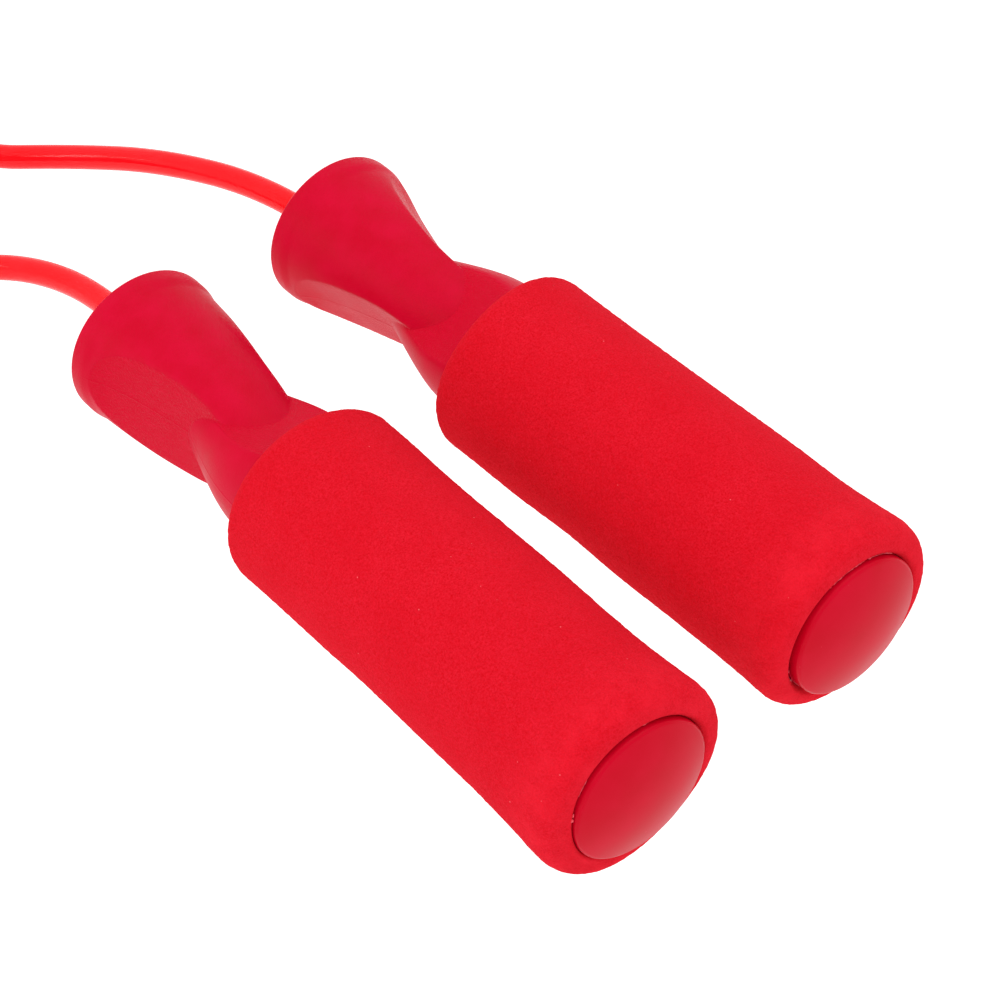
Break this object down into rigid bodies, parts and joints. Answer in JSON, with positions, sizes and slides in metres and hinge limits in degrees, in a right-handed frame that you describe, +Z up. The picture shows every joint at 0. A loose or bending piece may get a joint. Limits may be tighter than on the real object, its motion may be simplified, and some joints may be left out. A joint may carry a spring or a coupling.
{
  "type": "jump rope",
  "caption": "Jump rope with foam-covered handles, flared plastic handle fronts, domed end caps and a round PVC cord that swivels in each handle.",
  "frame": {"origin": "on the floor, in the middle below the two handles", "axes": "+X along the handles from their flared fronts to their caps, +Y from the left handle to the right one, +Z up"},
  "size_m": [0.3109, 0.1447, 0.04],
  "materials": {
    "handle_plastic": "satin moulded plastic",
    "foam": "matt closed-cell foam with a fine velvety pore",
    "cap_plastic": "satin moulded plastic",
    "bush_nylon": "natural nylon",
    "washer_steel": "zinc plated",
    "ferrule_metal": "crimped",
    "cord_pvc": "glossy, slightly translucent PVC",
    "tie_fabric": "woven hook-and-loop strap"
  },
  "bodies": {
    "rope": {"left_cord": "cord_pvc", "right_cord": "cord_pvc", "cord_coil": "cord_pvc", "coil_tie": "tie_fabric", "left_ferrule": "ferrule_metal", "right_ferrule": "ferrule_metal", "left_washer": "washer_steel", "right_washer": "washer_steel"},
    "left_handle": {"left_handle_core": "handle_plastic", "left_foam_grip": "foam", "left_end_cap": "cap_plastic", "left_bush": "bush_nylon"},
    "right_handle": {"right_handle_core": "handle_plastic", "right_foam_grip": "foam", "right_end_cap": "cap_plastic", "right_bush": "bush_nylon"}
  },
  "joints": [
    {"name": "left_swivel", "type": "hinge", "parent": "rope", "child": "left_handle", "pos_m": [0.0021, -0.027, 0.02], "axis": [0.9999, -0.0122, 0], "continuous": true},
    {"name": "right_swivel", "type": "hinge", "parent": "rope", "child": "right_handle", "pos_m": [-0.0019, 0.027, 0.02], "axis": [0.9999, 0.0122, 0], "continuous": true}
  ]
}
